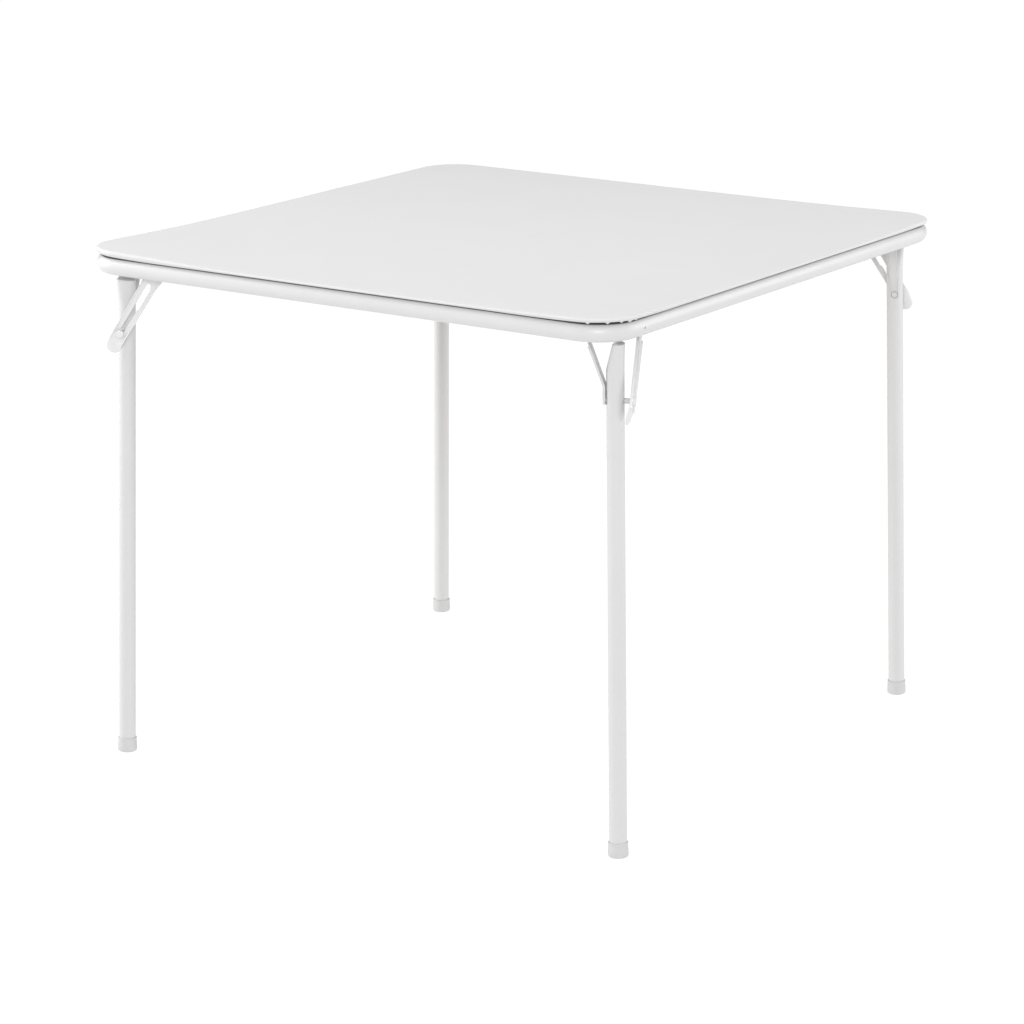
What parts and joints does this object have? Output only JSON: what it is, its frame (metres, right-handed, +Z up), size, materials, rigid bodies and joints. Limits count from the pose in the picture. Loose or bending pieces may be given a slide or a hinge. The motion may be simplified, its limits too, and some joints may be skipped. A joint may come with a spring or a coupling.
{
  "type": "folding card table",
  "caption": "Square folding card table with a padded vinyl top on a tubular steel frame, and legs that fold flat under it on hinges with slotted lock braces.",
  "frame": {"origin": "on the floor below the middle of the table", "axes": "+Z up, X and Y along the table's sides"},
  "size_m": [0.8636, 0.8636, 0.7112],
  "materials": {
    "vinyl": "soft fine-grained white vinyl",
    "foam": "open foam",
    "hardboard": "plain pressed board",
    "painted_steel": "white powder coat, semi-gloss",
    "painted_rivet": "white powder coat, semi-gloss",
    "zinc_steel": "bright zinc plate",
    "cap_plastic": "moulded white vinyl, satin"
  },
  "bodies": {
    "table_frame": {"vinyl_cover": "vinyl", "foam_pad": "foam", "hardboard_panel": "hardboard", "frame_rail": "painted_steel", "panel_clips": "painted_steel", "panel_screws": "zinc_steel", "hem_staples": "zinc_steel", "corner_bracket_front_left": "painted_steel", "hinge_pin_front_left": "zinc_steel", "hinge_washers_front_left": "zinc_steel", "brace_rivet_front_left": "painted_rivet", "corner_bracket_front_right": "painted_steel", "hinge_pin_front_right": "zinc_steel", "hinge_washers_front_right": "zinc_steel", "brace_rivet_front_right": "painted_rivet", "corner_bracket_back_right": "painted_steel", "hinge_pin_back_right": "zinc_steel", "hinge_washers_back_right": "zinc_steel", "brace_rivet_back_right": "painted_rivet", "corner_bracket_back_left": "painted_steel", "hinge_pin_back_left": "zinc_steel", "hinge_washers_back_left": "zinc_steel", "brace_rivet_back_left": "painted_rivet"},
    "leg_front_left": {"leg_tube_front_left": "painted_steel", "side_stay_front_left": "painted_steel", "leg_rivet_front_left": "painted_rivet", "foot_cap_front_left": "cap_plastic"},
    "brace_front_left": {"lock_brace_front_left": "painted_steel"},
    "stud_front_left": {"lock_stud_front_left": "painted_rivet"},
    "leg_front_right": {"leg_tube_front_right": "painted_steel", "side_stay_front_right": "painted_steel", "leg_rivet_front_right": "painted_rivet", "foot_cap_front_right": "cap_plastic"},
    "brace_front_right": {"lock_brace_front_right": "painted_steel"},
    "stud_front_right": {"lock_stud_front_right": "painted_rivet"},
    "leg_back_right": {"leg_tube_back_right": "painted_steel", "side_stay_back_right": "painted_steel", "leg_rivet_back_right": "painted_rivet", "foot_cap_back_right": "cap_plastic"},
    "brace_back_right": {"lock_brace_back_right": "painted_steel"},
    "stud_back_right": {"lock_stud_back_right": "painted_rivet"},
    "leg_back_left": {"leg_tube_back_left": "painted_steel", "side_stay_back_left": "painted_steel", "leg_rivet_back_left": "painted_rivet", "foot_cap_back_left": "cap_plastic"},
    "brace_back_left": {"lock_brace_back_left": "painted_steel"},
    "stud_back_left": {"lock_stud_back_left": "painted_rivet"}
  },
  "joints": [
    {"name": "fold_front_left", "type": "hinge", "parent": "table_frame", "child": "leg_front_left", "pos_m": [-0.3741, -0.3982, 0.686], "axis": [0.342, -0.9396, 0.0162], "range_deg": [0, 91.5]},
    {"name": "brace_turn_front_left", "type": "hinge", "parent": "table_frame", "child": "brace_front_left", "pos_m": [-0.31298, -0.39826, 0.68878], "axis": [0.342, -0.9396, 0.0162], "range_deg": [0, 126]},
    {"name": "stud_slide_front_left", "type": "slide", "parent": "brace_front_left", "child": "stud_front_left", "axis": [0.4933, 0.1942, 0.8479], "range_m": [0, 0.07951]},
    {"name": "fold_front_right", "type": "hinge", "parent": "table_frame", "child": "leg_front_right", "pos_m": [0.3982, -0.3741, 0.686], "axis": [0.9396, 0.342, 0.0162], "range_deg": [0, 91.5]},
    {"name": "brace_turn_front_right", "type": "hinge", "parent": "table_frame", "child": "brace_front_right", "pos_m": [0.39826, -0.31298, 0.68878], "axis": [0.9396, 0.342, 0.0162], "range_deg": [0, 126]},
    {"name": "stud_slide_front_right", "type": "slide", "parent": "brace_front_right", "child": "stud_front_right", "axis": [-0.1942, 0.4933, 0.8479], "range_m": [0, 0.07951]},
    {"name": "fold_back_right", "type": "hinge", "parent": "table_frame", "child": "leg_back_right", "pos_m": [0.3741, 0.3982, 0.686], "axis": [-0.342, 0.9396, 0.0162], "range_deg": [0, 91.5]},
    {"name": "brace_turn_back_right", "type": "hinge", "parent": "table_frame", "child": "brace_back_right", "pos_m": [0.31298, 0.39826, 0.68878], "axis": [-0.342, 0.9396, 0.0162], "range_deg": [0, 126]},
    {"name": "stud_slide_back_right", "type": "slide", "parent": "brace_back_right", "child": "stud_back_right", "axis": [-0.4933, -0.1942, 0.8479], "range_m": [0, 0.07951]},
    {"name": "fold_back_left", "type": "hinge", "parent": "table_frame", "child": "leg_back_left", "pos_m": [-0.3982, 0.3741, 0.686], "axis": [-0.9396, -0.342, 0.0162], "range_deg": [0, 91.5]},
    {"name": "brace_turn_back_left", "type": "hinge", "parent": "table_frame", "child": "brace_back_left", "pos_m": [-0.39826, 0.31298, 0.68878], "axis": [-0.9396, -0.342, 0.0162], "range_deg": [0, 126]},
    {"name": "stud_slide_back_left", "type": "slide", "parent": "brace_back_left", "child": "stud_back_left", "axis": [0.1942, -0.4933, 0.8479], "range_m": [0, 0.07951]}
  ],
  "couplings": [
    {"joint": "brace_turn_front_left", "follows": "fold_front_left", "ratio": 1.377},
    {"joint": "stud_slide_front_left", "follows": "fold_front_left", "m_per_rad": 0.049782},
    {"joint": "brace_turn_front_right", "follows": "fold_front_right", "ratio": 1.377},
    {"joint": "stud_slide_front_right", "follows": "fold_front_right", "m_per_rad": 0.049782},
    {"joint": "brace_turn_back_right", "follows": "fold_back_right", "ratio": 1.377},
    {"joint": "stud_slide_back_right", "follows": "fold_back_right", "m_per_rad": 0.049782},
    {"joint": "brace_turn_back_left", "follows": "fold_back_left", "ratio": 1.377},
    {"joint": "stud_slide_back_left", "follows": "fold_back_left", "m_per_rad": 0.049782}
  ]
}
